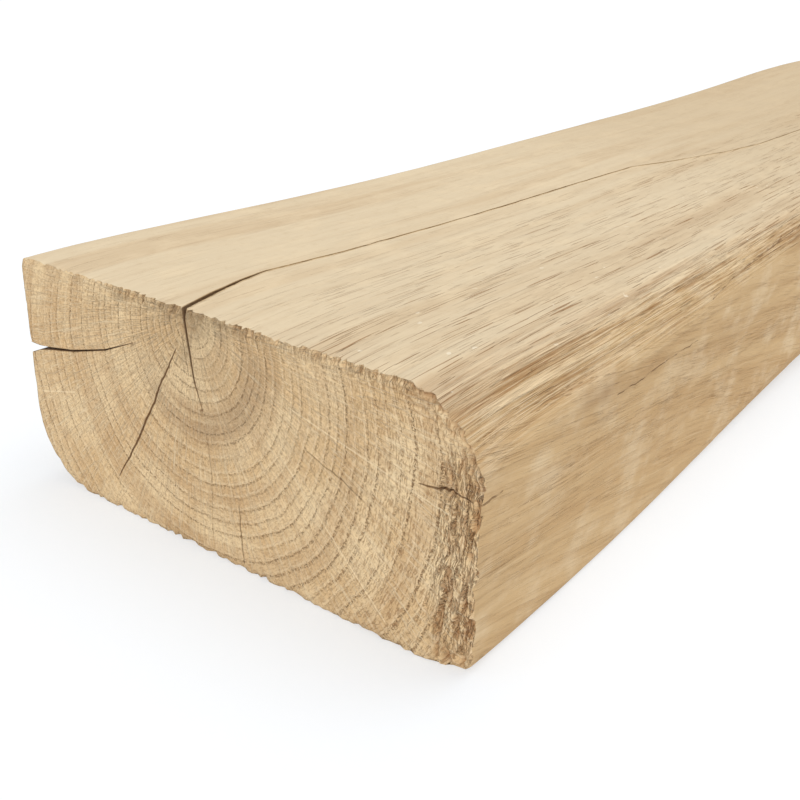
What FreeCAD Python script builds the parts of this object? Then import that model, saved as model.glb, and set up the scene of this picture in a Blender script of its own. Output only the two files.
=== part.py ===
"""Aged oak beam: one hewn length of oak, sawn square at both ends, with waney arrises and drying checks.

The frame, in millimetres: X runs across the beam, Y along it and Z up.  The origin lies on the flat
underside, at mid-length, on the centre line of the nominal section.  The near end faces -Y.

The beam is made the way it was worked.  A hewn form is lofted through sections set out along the log,
its underside is trimmed flat, it is sawn to length, and the drying checks are cut into it.
"""

import FreeCAD
import Part
import Sketcher
import math
import os

PARTS_FOLDER = "parts"
NODE_NAME = "oak_beam"

# Driving dimensions: alias, value in millimetres, what it is.
DIMENSIONS = [
    ("beam_length", 1200, "between the two sawn ends"),
    ("section_width", 225, "nominal width across the hewn sides"),
    ("section_height", 100, "nominal height of the top above the underside"),
    ("saw_allowance", 300, "length that the hewn form runs on past the far end"),
    ("log_length", "=beam_length + saw_allowance", "length of the hewn form before it is sawn"),
    ("underside_trim", 1.5, "taken off below the hewn form to leave a flat underside"),
    ("top_check_depth", 34, "depth of the long check in the top"),
    ("top_check_width", 3.0, "opening of the long check where it meets the near end"),
    ("side_check_height", 60, "height of the check that opens the left side"),
    ("side_check_mouth", 5.2, "opening of that check at the left side of the near end"),
    ("side_check_far_mouth", 0.8, "opening of that check where it closes along the beam"),
    ("side_check_run", 330, "how far that check runs along the beam"),
    ("side_check_reach", 68, "how far that check reaches in from the left side"),
    ("side_check_rise", 19, "how far that check climbs towards the pith"),
    ("pith_left", 10, "pith, left of the centre line at the near end"),
    ("pith_drop", 4, "pith, below the nominal top at the near end"),
    ("far_pith_right", 18, "pith, right of the centre line at the far end"),
    ("far_pith_height", 42, "pith, above the underside at the far end"),
    ("end_check_width", 0.8, "opening of the radial checks in the near end"),
    ("end_check_depth", 45, "how far those checks run in from the near end"),
    ("far_check_width", 1.6, "opening of the checks in the far end"),
    ("far_check_depth", 60, "how far those checks run in from the far end"),
]

# Sections of the hewn form.  Every value is a cell, named after its column and its row number.
# along: from the near end, on a beam of DRAWN_LENGTH, or by name.  left, right, rise: swell past the
# nominal section.
# The last four are the radii of the waney arrises, in the order of ARRISES.
ARRISES = ("low_right", "top_right", "top_left", "low_left")
SECTION_COLUMNS = ("along", "left", "right", "rise") + ARRISES
DRAWN_LENGTH = 1200
SECTIONS = [
    (0, 0.5, 0.0, 0.0, 9, 27, 4, 36),
    (80, 0.0, 0.0, 0.6, 4, 23, 5, 34),
    (190, 0.5, -0.6, -0.6, 7, 19, 7, 30),
    (310, 0.0, 0.6, 0.4, 17, 14, 7, 26),
    (440, 2.0, 4.0, 1.8, 28, 12, 6, 22),
    (600, 5.5, 3.0, 4.0, 32, 16, 7, 18),
    (780, 9.5, 1.5, 8.8, 27, 20, 8, 20),
    (980, 13.0, 3.0, 16.0, 20, 24, 9, 25),
    (1200, 11.0, 4.5, 12.5, 15, 22, 9, 27),
    ("log_length", 9.0, 3.0, 10.0, 14, 20, 8, 24),
]

# The long check in the top, as it is seen from above: distance from the near end, place across the beam
# and opening as a share of top_check_width.
TOP_CHECK_PATH = [
    (0, -15, 1.0),
    (16, -18, 0.95),
    (34, -21, 0.6),
    (50, -23, 0.4),
    (90, -20, 0.3),
    (155, -18.5, 0.3),
    (290, -14.5, 0.35),
    (365, -11, 0.25),
    (400, 0, 0.2),
    (458, 14, 0.25),
    (505, 21, 0.2),
    (600, 25, 0.3),
    (700, 27, 0.2),
    (790, 24, 0.1),
]

# Radial checks, as they are seen on an end: the points from the pith outwards, each as distance
# across from the pith and distance below it.  The opening is widest between the two tips.
NEAR_END_CHECKS = {
    "check_low_left": [(-10, 13), (-27, 43), (-52, 81)],
    "check_below_pith": [(-2, 30), (2, 52), (4, 66)],
    "check_at_bottom": [(19, 70), (20, 82), (21, 93)],
    "check_right": [(52, 33), (66, 38), (79, 44)],
}
FAR_END_CHECKS = {
    "far_check_up": [(1, -5), (-4, -28), (2, -60)],
    "far_check_left": [(-8, 1), (-48, 8), (-92, 6)],
    "far_check_right": [(7, 3), (34, 10), (60, 26)],
}

CUT_MARGIN = 40  # how far a cutting outline stands clear of the solid that it cuts
SLIT_PASS = 1  # how far a check's outline runs past the face that it opens
TIP_SHARE = 0.2  # opening of an end check at its tips, as a share of its full opening
RECTANGLE = (("-", "-"), ("", "-"), ("", ""), ("-", ""))  # signs of the corners about the origin


def station(along):
    """Where a section lies: at a named size, or drawn out with the beam as its length changes."""
    return f"={along}" if isinstance(along, str) else f"=beam_length * {along} / {DRAWN_LENGTH}"


def make_sheet(doc):
    """The spreadsheet that holds every driving dimension."""
    sheet = doc.addObject("Spreadsheet::Sheet", "dims")
    rows = list(DIMENSIONS)
    for number, section in enumerate(SECTIONS):
        values = (station(section[0]),) + section[1:]
        for column, value in zip(SECTION_COLUMNS, values):
            rows.append((f"{column}_{number}", value, f"section {number}: {column}"))
    for line_number, (alias, value, note) in enumerate(rows, start=1):
        sheet.set(f"A{line_number}", alias)
        sheet.set(f"B{line_number}", str(value))
        sheet.set(f"C{line_number}", note)
        sheet.setAlias(f"B{line_number}", alias)
    doc.recompute()
    return sheet


def new_sketch(body, name, plane, offset):
    """A sketch on one of the body's origin planes.  offset moves it, axis by axis, by expressions."""
    sketch = body.newObject("Sketcher::SketchObject", name)
    role_plane = next(f for f in body.Origin.OriginFeatures if f.Role == plane)
    sketch.AttachmentSupport = (role_plane, "")
    sketch.MapMode = "FlatFace"
    for axis, expression in offset.items():
        sketch.setExpression(f"AttachmentOffset.Base.{axis}", expression)
    return sketch


def bind(sketch, kind, geometry, name, expression):
    """Adds a constraint whose value follows an expression of the sheet's cells."""
    value = float(sketch.evalExpression(expression))
    index = sketch.addConstraint(Sketcher.Constraint(kind, *geometry, value))
    sketch.renameConstraint(index, name)
    sketch.setExpression(f"Constraints.{name}", expression)


def line(start, end):
    return Part.LineSegment(FreeCAD.Vector(*start, 0), FreeCAD.Vector(*end, 0))


def quarter_arc(centre, radius, start_degrees):
    circle = Part.Circle(FreeCAD.Vector(*centre, 0), FreeCAD.Vector(0, 0, 1), radius)
    start = math.radians(start_degrees)
    return Part.ArcOfCircle(circle, start, start + math.pi / 2)


def section_sketch(body, sheet, number):
    """One section of the hewn form: a rectangle whose four arrises are rounded by their own radii."""
    cell = {column: getattr(sheet, f"{column}_{number}") for column in SECTION_COLUMNS}
    left = -sheet.section_width / 2 - cell["left"]
    right = sheet.section_width / 2 + cell["right"]
    low = -sheet.underside_trim
    top = sheet.section_height + cell["rise"]
    low_right, top_right, top_left, low_left = (cell[arris] for arris in ARRISES)

    offset = {"z": f"dims.beam_length / 2 - dims.along_{number}"}
    sketch = new_sketch(body, f"section_{number}", "XZ_Plane", offset)
    sides = [
        line((left + low_left, low), (right - low_right, low)),
        line((right, low + low_right), (right, top - top_right)),
        line((right - top_right, top), (left + top_left, top)),
        line((left, top - top_left), (left, low + low_left)),
    ]
    arrises = [
        quarter_arc((right - low_right, low + low_right), low_right, -90),
        quarter_arc((right - top_right, top - top_right), top_right, 0),
        quarter_arc((left + top_left, top - top_left), top_left, 90),
        quarter_arc((left + low_left, low + low_left), low_left, 180),
    ]
    sketch.addGeometry(sides + arrises, False)
    for side in range(4):
        sketch.addConstraint(Sketcher.Constraint("Tangent", side, 2, 4 + side, 1))
        sketch.addConstraint(Sketcher.Constraint("Tangent", 4 + side, 2, (side + 1) % 4, 1))
        sketch.addConstraint(Sketcher.Constraint("Vertical" if side % 2 else "Horizontal", side))
        arris = ARRISES[side]
        bind(sketch, "Radius", (4 + side,), arris, f"dims.{arris}_{number}")
    half = "dims.section_width / 2"
    bind(sketch, "DistanceX", (3, 1, -1, 1), "left_side", f"{half} + dims.left_{number}")
    bind(sketch, "DistanceX", (-1, 1, 1, 1), "right_side", f"{half} + dims.right_{number}")
    bind(sketch, "DistanceY", (0, 1, -1, 1), "bottom", "dims.underside_trim")
    bind(sketch, "DistanceY", (-1, 1, 2, 1), "top", f"dims.section_height + dims.rise_{number}")
    return sketch


def polygon_sketch(sketch, points):
    """A closed outline of straight lines through points, each an x and a y expression."""
    corners = [[float(sketch.evalExpression(value)) for value in point] for point in points]
    count = len(corners)
    sketch.addGeometry([line(corners[i], corners[(i + 1) % count]) for i in range(count)], False)
    for i in range(count):
        sketch.addConstraint(Sketcher.Constraint("Coincident", i, 2, (i + 1) % count, 1))
    for i, (x, y) in enumerate(points):
        bind(sketch, "DistanceX", (-1, 1, i, 1), f"x{i}", x)
        bind(sketch, "DistanceY", (-1, 1, i, 1), f"y{i}", y)


def cut(body, kind, name, set_up):
    """A feature that takes something away, which its volume has to show."""
    before = body.Tip.Shape.Volume
    feature = body.newObject(f"PartDesign::{kind}", name)
    set_up(feature)
    body.Document.recompute()
    if not feature.Shape.Volume < before:
        raise RuntimeError(f"{name} cut nothing")
    return feature


def pocket(body, name, sketch, depth=None, reversed_direction=False):
    """A pocket of the given depth, or right through where none is given."""

    def set_up(feature):
        feature.Profile = sketch
        feature.Reversed = reversed_direction
        if depth is None:
            feature.Type = "ThroughAll"
        else:
            feature.setExpression("Length", depth)

    return cut(body, "Pocket", name, set_up)


def hewn_form(body, sheet):
    """The hewn form, lofted smoothly through its sections."""
    sketches = [section_sketch(body, sheet, number) for number in range(len(SECTIONS))]
    body.Document.recompute()
    loft = body.newObject("PartDesign::AdditiveLoft", "hewn_form")
    loft.Profile = sketches[0]
    loft.Sections = sketches[1:]
    loft.Ruled = False
    body.Document.recompute()
    return loft


def trim_underside(body):
    """Everything below Z = 0 is taken off, so that the beam rests on a true plane."""
    across = f"(dims.section_width + {CUT_MARGIN})"
    along = f"(dims.log_length + {CUT_MARGIN})"
    sketch = new_sketch(body, "underside_outline", "XY_Plane", {})
    polygon_sketch(sketch, [(sign_x + across, sign_y + along) for sign_x, sign_y in RECTANGLE])
    return pocket(body, "flat_underside", sketch)


def saw_far_end(body):
    """The log that runs on past the beam's length is sawn off."""
    across = f"(dims.section_width + {CUT_MARGIN})"
    upwards = f"(2 * dims.section_height + {CUT_MARGIN})"
    sketch = new_sketch(body, "far_saw_cut", "XZ_Plane", {"z": "-dims.beam_length / 2"})
    polygon_sketch(sketch, [(sign_x + across, sign_z + upwards) for sign_x, sign_z in RECTANGLE])
    return pocket(body, "sawn_far_end", sketch)


def top_check(body):
    """The long check in the top: a slot between two lips that follow the grain."""
    offset = {"y": "-dims.beam_length / 2", "z": f"dims.section_height + {CUT_MARGIN}"}
    sketch = new_sketch(body, "top_check_outline", "XY_Plane", offset)
    left_lip, right_lip = [], []
    for along, across, opening in TOP_CHECK_PATH:
        start = along if along else -SLIT_PASS
        half_width = f"{opening} * dims.top_check_width / 2"
        left_lip.append((f"{across} - {half_width}", str(start)))
        right_lip.append((f"{across} + {half_width}", str(start)))
    polygon_sketch(sketch, left_lip + right_lip[::-1])
    return pocket(body, "top_check", sketch, f"{CUT_MARGIN} + dims.top_check_depth")


def side_check(body):
    """The check that opens the left side: a wedge that narrows inwards and along the beam."""
    outside = f"-dims.section_width / 2 - {CUT_MARGIN / 10}"
    shoulder = "0.22 * dims.side_check_reach - dims.section_width / 2"
    tip = "dims.side_check_reach - dims.section_width / 2"
    level = "dims.side_check_height"
    sketches = []
    for name, along, mouth in (
        ("side_check_near", f"{SLIT_PASS}", "dims.side_check_mouth"),
        ("side_check_end", "-dims.side_check_run", "dims.side_check_far_mouth"),
    ):
        sketch = new_sketch(body, name, "XZ_Plane", {"z": f"dims.beam_length / 2 + {along}"})
        polygon_sketch(sketch, [
            (outside, f"{level} - 0.5 * {mouth}"),
            (shoulder, f"{level} + 0.2 * dims.side_check_rise - 0.12 * {mouth}"),
            (tip, f"{level} + dims.side_check_rise"),
            (shoulder, f"{level} + 0.2 * dims.side_check_rise + 0.12 * {mouth}"),
            (outside, f"{level} + 0.5 * {mouth}"),
        ])
        sketches.append(sketch)
    body.Document.recompute()

    def set_up(feature):
        feature.Profile = sketches[0]
        feature.Sections = sketches[1:]
        feature.Ruled = True

    return cut(body, "SubtractiveLoft", "side_check", set_up)


def end_check(body, name, path, near):
    """A radial check in an end: a slit that narrows towards both its tips."""
    if near:
        plane_offset, width, depth = "dims.beam_length / 2", "dims.end_check_width", "dims.end_check_depth"
        pith = ("-dims.pith_left", "dims.section_height - dims.pith_drop")
    else:
        plane_offset, width, depth = "-dims.beam_length / 2", "dims.far_check_width", "dims.far_check_depth"
        pith = ("dims.far_pith_right", "dims.far_pith_height")
    sketch = new_sketch(body, f"{name}_outline", "XZ_Plane", {"z": plane_offset})
    across, below = (path[-1][i] - path[0][i] for i in (0, 1))
    length = math.hypot(across, below)
    square = (round(below / length, 4), round(across / length, 4))  # a unit step square to the slit

    def lip(side):
        last = len(path) - 1
        corners = []
        for i, (x, down) in enumerate(path):
            half = side * (0.5 if 0 < i < last else 0.5 * TIP_SHARE)
            corners.append((
                f"{pith[0]} + {x} + {half * square[0]:.4f} * {width}",
                f"{pith[1]} - {down} + {half * square[1]:.4f} * {width}",
            ))
        return corners

    polygon_sketch(sketch, lip(1) + lip(-1)[::-1])
    return pocket(body, name, sketch, depth, reversed_direction=not near)


def main():
    doc = FreeCAD.newDocument(NODE_NAME)
    sheet = make_sheet(doc)
    body = doc.addObject("PartDesign::Body", NODE_NAME)
    body.Label = NODE_NAME
    hewn_form(body, sheet)
    trim_underside(body)
    saw_far_end(body)
    top_check(body)
    side_check(body)
    for name, path in NEAR_END_CHECKS.items():
        end_check(body, name, path, near=True)
    for name, path in FAR_END_CHECKS.items():
        end_check(body, name, path, near=False)
    doc.recompute()

    failed = [o.Name for o in doc.Objects if {"Invalid", "Error"} & set(o.State)]
    if failed:
        raise RuntimeError(f"these objects failed: {failed}")
    shape = body.Shape
    if shape.isNull() or not shape.isValid() or len(shape.Solids) != 1:
        raise RuntimeError("the beam is not one valid solid")
    os.makedirs(PARTS_FOLDER, exist_ok=True)
    shape.exportStep(os.path.join(PARTS_FOLDER, f"{NODE_NAME}.step"))
    box = shape.optimalBoundingBox(True, False)
    print(f"{NODE_NAME}: {box.XLength:.1f} x {box.YLength:.1f} x {box.ZLength:.1f} mm, "
          f"{shape.Volume / 1e6:.2f} litres")


main()
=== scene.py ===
"""The look of an aged oak beam: hewn faces, drying checks and oak grain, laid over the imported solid.

Lengths are in millimetres until the mesh is written.  X is across the beam, "along" is the distance
from the near sawn end, and Z is up.
"""

import math
import bpy
import numpy as np
from mathutils import Matrix, Vector
from mathutils.bvhtree import BVHTree
from mathutils.geometry import delaunay_2d_cdt


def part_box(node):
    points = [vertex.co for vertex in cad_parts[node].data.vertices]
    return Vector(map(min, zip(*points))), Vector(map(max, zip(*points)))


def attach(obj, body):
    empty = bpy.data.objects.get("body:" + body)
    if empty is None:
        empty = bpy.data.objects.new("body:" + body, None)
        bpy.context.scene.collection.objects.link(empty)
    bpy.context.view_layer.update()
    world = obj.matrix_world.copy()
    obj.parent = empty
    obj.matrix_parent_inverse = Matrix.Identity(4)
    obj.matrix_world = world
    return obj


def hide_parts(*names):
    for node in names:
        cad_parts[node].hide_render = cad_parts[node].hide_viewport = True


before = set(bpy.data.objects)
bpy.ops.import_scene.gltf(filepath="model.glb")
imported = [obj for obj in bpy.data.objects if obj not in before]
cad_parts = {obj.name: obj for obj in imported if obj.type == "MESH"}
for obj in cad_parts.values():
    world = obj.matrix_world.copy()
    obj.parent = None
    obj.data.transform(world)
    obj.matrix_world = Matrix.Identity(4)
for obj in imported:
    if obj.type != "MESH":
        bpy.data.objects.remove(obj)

MM = 0.001
NODE = "oak_beam"

# ---------------------------------------------------------------- where things lie on the beam

TOP_CHECK_PATH = [  # the long check in the top: along, across, opening
    (0, -15, 2.7), (16, -18, 2.7), (34, -21, 1.9), (50, -23, 1.15), (90, -20, 0.9), (155, -18.5, 0.9),
    (290, -14.5, 1.0), (365, -11, 0.75), (400, 0, 0.6), (458, 14, 0.75), (505, 21, 0.6),
    (600, 25, 0.9), (700, 27, 0.6), (790, 24, 0.2),
]
TOP_CHECK_WALL = [  # how that check leans and narrows: down, across, share of the opening
    (0.5, -0.1, 0.88), (4.0, -0.6, 0.36), (28.0, 3.3, 0.18), (38.0, 7.0, 0.0),
]
SIDE_CHECK_RUN = 330
SIDE_CHECK_MOUTH = (60, 4.6, 0.5)  # height, opening at the near end, opening where it closes
SIDE_CHECK_WALL = [  # how it goes in from the left side: inwards, up, share of the opening
    (1.2, 0.2, 0.85), (6.0, 1.2, 0.42), (13.5, 2.6, 0.24), (29.0, 5.6, 0.15), (50.0, 11.5, 0.1),
    (67.0, 18.7, 0.0),
]
NEAR_CHECKS = [  # closed checks in the near end: points across and up, opening, depth
    ([(-20, 83.7), (-29, 68), (-36.7, 53.7), (-48, 35), (-60.8, 15.7)], 0.7, 16),
    ([(-7.3, 57), (-5.2, 47), (-4.2, 37), (-5.4, 23), (-5.3, 8.7)], 0.2, 6),
    ([(9.4, 29), (9.9, 15), (11.2, 2.6)], 0.42, 8),
    ([(41.7, 62.8), (55, 58.2), (68.3, 52)], 0.3, 6),
    ([(31.7, 45.3), (45, 32), (56.7, 18.7)], 0.14, 3),
    ([(-17.2, 91), (-15.4, 82), (-14, 73)], 0.25, 5),
    ([(89, 66.5), (99, 67.6), (110, 66.4)], 0.6, 7),
]
FAR_CHECKS = [
    ([(19, 47), (14, 70), (20, 101)], 1.2, 14),
    ([(10, 41), (-30, 34), (-73, 36)], 1.2, 14),
    ([(25, 39), (52, 32), (78, 16)], 1.2, 14),
]
NEAR_PITH = (-11, 97.5)  # across and up
FAR_PITH = (18, 42)
PITH_DRIFT = 330  # along, over which most of the drift from one to the other is done
RING_SINK = 0.33  # how fast a ring's centre sinks as the ring grows
RING_NEAR_PITH, RING_FAR_OUT, RING_CHANGE = 2.6, 4.9, 42.0  # ring widths, and the radius they change over
STAINS = [  # brown stains on the right side and the waney arris: along, up, half length, half height
    (78, 77, 26, 5, 0.8), (120, 74, 40, 4, 0.5), (300, 92, 34, 5, 0.9), (215, 60, 50, 7, 0.35),
    (430, 80, 60, 9, 0.4),
]
PALE_RAYS = [((30, 57), (78.3, 8.7)), ((35, 76), (101.7, 59.5)), ((-108, 41), (-85, 47))]  # across, up
SIDE_SPLITS = [  # fine splits in the right side: along, up at both ends, half width
    ((94, 72), (174, 71), 0.2), ((188, 85.5), (232, 90), 0.22), ((232, 90), (292, 93.5), 0.4),
    ((292, 93), (360, 98), 0.3), ((0, 66.5), (14, 66), 0.3),
]

# ---------------------------------------------------------------- how finely it is meshed

CORE_HALF_WIDTH, CORE_HEIGHT = 70, 50  # the line inside the beam that its outside is measured from
MEASURE_REACH = 200
MEASURES = (220, 160, 180, 160)  # over the top, the right, the underside and the left
SEGMENT_COLUMNS = (104, 86, 96, 22, 20, 84)  # top check to right, down, under, up to side check, up, back
END_SPACING, FINE_SPACING, FAR_SPACING = 1.4, 0.78, 3.2  # the near end, where it is torn, the far end
LIP = 0.45  # a check's lip, beside its opening
BANK = 0.3  # the clean wood beside a check in an end

# ---------------------------------------------------------------- light and camera

CAMERA_PLACE = (0.2447, -0.2251, 0.2175)  # in metres, the middle one from the near end
CAMERA_TURN = (35.94, 24.16, 2.10)  # degrees to the left, down, and rolled
CAMERA_LENS = 44.86
SUNS = [  # name, where it shines from, its breadth in degrees, its strength
    ("overhead", (0.1, 0.4, 1.0), 50, 1.0),
    ("front", (0.5, -0.85, 0.6), 30, 1.45),
]
SKY = 0.55
FLOOR_COLOUR = (0.8, 0.8, 0.8, 1)
FLOOR_SEEN, FLOOR_LIFT = (0.51, 0.538, 0.57, 1), 0.465  # what the camera sees of it: paint, and glow added


# ---------------------------------------------------------------- numbers

def hashed(ix, iy, iz, seed):
    """A repeatable number from 0 to 1 for each point of a lattice."""
    n = (ix * 73856093) ^ (iy * 19349663) ^ (iz * 83492791) ^ (seed * 40503 + 977)
    n = ((n ^ (n >> 13)) * 1274126177) & 0x7FFFFFFF
    n = ((n ^ (n >> 16)) * 668265263) & 0x7FFFFFFF
    return ((n ^ (n >> 15)) & 0xFFFFFF) / 0xFFFFFF


def noise(x, y, z=0.0, seed=0):
    """Smooth noise from -1 to 1, with one cell to a unit."""
    axes = np.broadcast_arrays(*(np.asarray(v, float) for v in (x, y, z)))
    cells = [np.floor(v).astype(np.int64) for v in axes]
    shares = [v - c for v, c in zip(axes, cells)]
    shares = [t * t * (3 - 2 * t) for t in shares]
    total = 0.0
    for corner in range(8):
        steps = [(corner >> axis) & 1 for axis in range(3)]
        weight = 1.0
        for share, step in zip(shares, steps):
            weight = weight * (share if step else 1 - share)
        total = total + weight * hashed(*(c + s for c, s in zip(cells, steps)), seed)
    return 2 * total - 1


def layered(x, y, z=0.0, seed=0, layers=3):
    """Noise with finer noise on it, still from -1 to 1."""
    total, weight = 0.0, 0.0
    for layer in range(layers):
        scale = 2.0 ** layer
        total = total + noise(x * scale, y * scale, np.asarray(z) * scale, seed + layer) / scale
        weight += 1 / scale
    return total / weight


def ramp(value, low, high):
    """0 below low, 1 above high, and smooth between them."""
    t = np.clip((np.asarray(value, float) - low) / (high - low), 0, 1)
    return t * t * (3 - 2 * t)


def smoothed(values, width, axis, closed=False):
    """values blurred along an axis by a bell of this standard deviation, in samples."""
    reach = max(1, int(3 * width))
    offsets = np.arange(-reach, reach + 1)
    bell = np.exp(-0.5 * (offsets / width) ** 2)
    pad = [(0, 0)] * values.ndim
    pad[axis] = (reach, reach)
    padded = np.pad(values, pad, mode="wrap" if closed else "edge")
    count = values.shape[axis]
    parts = [b * np.take(padded, range(i, i + count), axis) for i, b in enumerate(bell)]
    return sum(parts) / bell.sum()


def widened(values, reach, pick):
    """The largest or smallest of each value and its neighbours, round a closed row."""
    return pick.reduce([np.roll(values, shift, axis=1) for shift in range(-reach, reach + 1)])


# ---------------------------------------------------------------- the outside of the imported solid

def row_places(length):
    """How far along each row of the mesh lies: close together at the ends."""
    rows = [0.0]
    while rows[-1] < length:
        here = rows[-1]
        coarse = 5.2 + 7.5 * here / length
        rows.append(here + min(0.8 + 0.06 * here, coarse, 1.0 + 0.16 * max(length - here, 0)))
    return np.array(rows) * length / rows[-1]


def outward_lines():
    """Points on the core line and the way out from each, clockwise as seen from the near end."""
    top, right, under, left = MEASURES
    w, h = CORE_HALF_WIDTH, CORE_HEIGHT

    def turning(start, count):
        angles = np.radians(start - 180 * (np.arange(count) + 0.5) / count)
        return np.stack([np.cos(angles), np.sin(angles)], 1)

    def straight(start, end, count):
        share = (np.arange(count) + 0.5) / count
        return np.stack([start + (end - start) * share, np.full(count, h)], 1)

    starts = [straight(-w, w, top), np.tile((w, h), (right, 1)),
              straight(w, -w, under), np.tile((-w, h), (left, 1))]
    ways = [np.tile((0, 1), (top, 1)), turning(90, right), np.tile((0, -1), (under, 1)), turning(-90, left)]
    return np.concatenate(starts).astype(float), np.concatenate(ways).astype(float)


def measured_outside(solid, near, rows):
    """The hewn outside at every row, with the checks closed over: an array of rows of points."""
    mesh = solid.data
    points = np.empty(len(mesh.vertices) * 3)
    mesh.vertices.foreach_get("co", points)
    tree = BVHTree.FromPolygons((points.reshape(-1, 3) / MM).tolist(), [p.vertices for p in mesh.polygons])
    starts, ways = outward_lines()
    outer = starts + ways * MEASURE_REACH
    inside = np.clip(rows, 0.05, rows[-1] - 0.05)
    distance = np.empty((len(rows), len(starts)))
    for r, along in enumerate(inside):
        for k, ((x, z), (dx, dz)) in enumerate(zip(outer.tolist(), ways.tolist())):
            hit = tree.ray_cast(Vector((x, near + along, z)), Vector((-dx, 0, -dz)))
            distance[r, k] = MEASURE_REACH - hit[3]
    distance = widened(widened(distance, 6, np.maximum), 6, np.minimum)
    distance = smoothed(smoothed(distance, 1.2, 1, closed=True), 1.0, 0)
    return starts + ways * distance[..., None]


class Outside:
    """The measured outside, read by arc length round each row."""

    def __init__(self, points):
        closed = np.concatenate([points, points[:, :1]], 1)
        steps = np.linalg.norm(np.diff(closed, axis=1), axis=2)
        self.arc = np.concatenate([np.zeros((len(points), 1)), np.cumsum(steps, 1)], 1)
        self.points = closed
        self.perimeter = self.arc[:, -1]

    def at(self, row, arc):
        arc = np.mod(arc, self.perimeter[row])
        return np.stack([np.interp(arc, self.arc[row], self.points[row, :, i]) for i in (0, 1)], -1)

    def normal(self, row, arc, reach=2.5):
        """The way out of the surface, over a short stretch."""
        ahead, behind = self.at(row, arc + reach), self.at(row, arc - reach)
        tangent = ahead - behind
        out = np.stack([-tangent[:, 1], tangent[:, 0]], 1)
        return out / np.linalg.norm(out, axis=1, keepdims=True)

    def corner(self, right, up):
        """The arc length of the corner that lies furthest this way, at every row."""
        score = self.points[:, :-1, 0] * right + self.points[:, :-1, 1] * up
        found = np.argmax(score, 1)
        return smoothed(self.arc[np.arange(len(found)), found], 3, 0)


# ---------------------------------------------------------------- the long faces

def check_lines(rows):
    """The top check's place across the beam and opening, and the side check's opening, at every row."""
    along, across, opening = np.array(TOP_CHECK_PATH, float).T
    place = np.interp(rows, along, across) + 0.35 * noise(rows / 7, 0.5, seed=3) * ramp(rows, 0, 12)
    width = np.interp(rows, along, opening) * (1 + 0.3 * noise(rows / 5, 0.5, seed=4) * ramp(rows, 5, 40))
    width = width * (1 - ramp(rows, 700, 790))
    _, wide, narrow = SIDE_CHECK_MOUTH
    side = wide + (narrow - wide) * np.clip(rows / SIDE_CHECK_RUN, 0, 1)
    side = side * (1 + 0.2 * noise(rows / 9, 0.5, seed=5) * ramp(rows, 4, 20))
    return place, width, side


def check_columns(mouth, lips, wall, inward, along_face, width, shrink, is_open):
    """The columns of one check at one row: an edge, the way down one wall, and up the other.

    mouth is the middle of its opening, and lips are the surface points on both sides, first to last.
    inward and along_face are the directions that its wall is given in.
    """
    first, last = lips
    down, aside, share = (np.array(v) for v in zip(*wall))
    centre = mouth + np.outer(down * shrink, inward) + np.outer(aside * shrink, along_face)
    half = 0.5 * width * share[:, None] * along_face
    edge = 0.5 * width * along_face
    points = np.concatenate([[mouth + edge], (centre + half)[:-1], centre[-1:], (centre - half)[:-1][::-1],
                             [mouth - edge]])
    share_along = (np.arange(len(points)) + 1)[:, None] / (len(points) + 1)
    closed = first + (last - first) * share_along
    return closed + (points - closed) * is_open


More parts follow.
